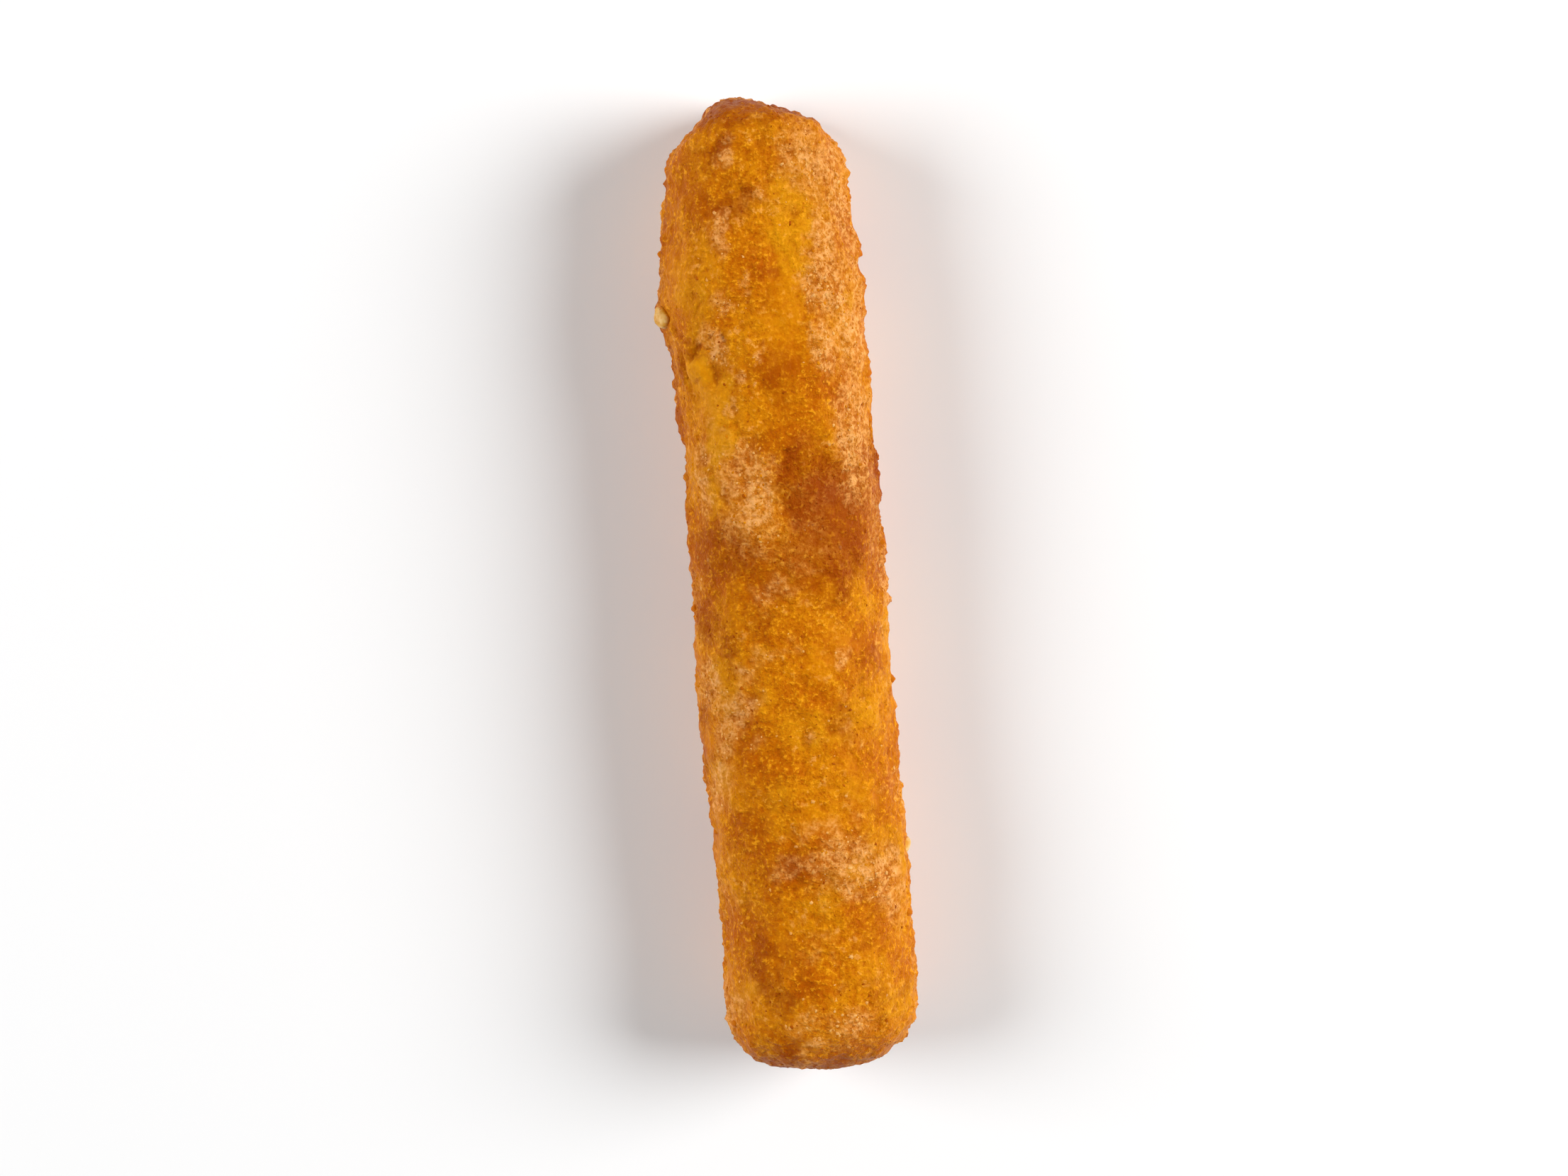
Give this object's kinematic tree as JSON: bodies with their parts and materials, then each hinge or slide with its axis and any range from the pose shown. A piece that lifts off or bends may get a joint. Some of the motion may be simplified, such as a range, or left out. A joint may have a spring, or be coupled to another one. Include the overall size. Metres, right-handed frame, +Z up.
{
  "type": "mozzarella stick",
  "caption": "Battered and fried cheese stick: a solid baton with blunt ends and a lumpy golden crust, lying on its flattened underside.",
  "frame": {"origin": "under the middle of the stick, on the surface that it rests on", "axes": "+Z up from the flat underside, +Y along the stick towards the end that shows in the picture, +X to the right of the side that shows"},
  "size_m": [0.0202, 0.0914, 0.0172],
  "materials": {
    "fried_crust": "golden orange fried batter, slightly oily, browned at the ends and in patches"
  },
  "bodies": {
    "root": {"mozzarella_stick": "fried_crust"}
  },
  "joints": []
}
